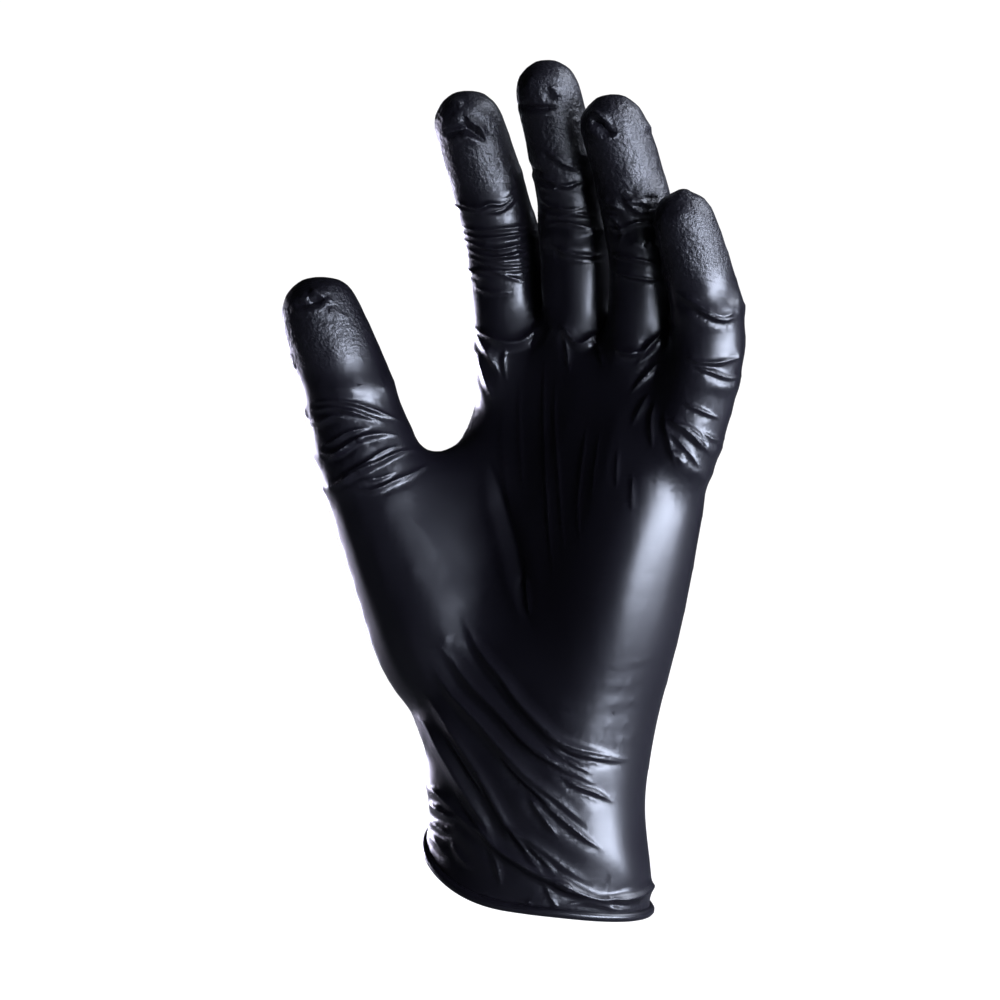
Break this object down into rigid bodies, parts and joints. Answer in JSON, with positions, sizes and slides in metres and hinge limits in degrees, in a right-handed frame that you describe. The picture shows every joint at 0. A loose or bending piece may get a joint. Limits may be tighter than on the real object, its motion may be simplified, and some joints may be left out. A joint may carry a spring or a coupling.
{
  "type": "nitrile exam glove",
  "caption": "Black disposable glove of thin film, stretched over a half-open left hand, with a rolled cuff rim, creased fingers and a hollow that opens at the wrist.",
  "frame": {"origin": "centre of the wrist opening, at the mean height of the rolled rim", "axes": "+Z from the wrist opening to the fingertips, -Y the side that the picture sees (palm side), -X towards the thumb"},
  "size_m": [0.1192, 0.066, 0.2198],
  "materials": {
    "nitrile": "black nitrile film with a soft violet-grey sheen, smooth on the palm and finely grained on the fingertips"
  },
  "bodies": {
    "root": {"glove": "nitrile"}
  },
  "joints": []
}
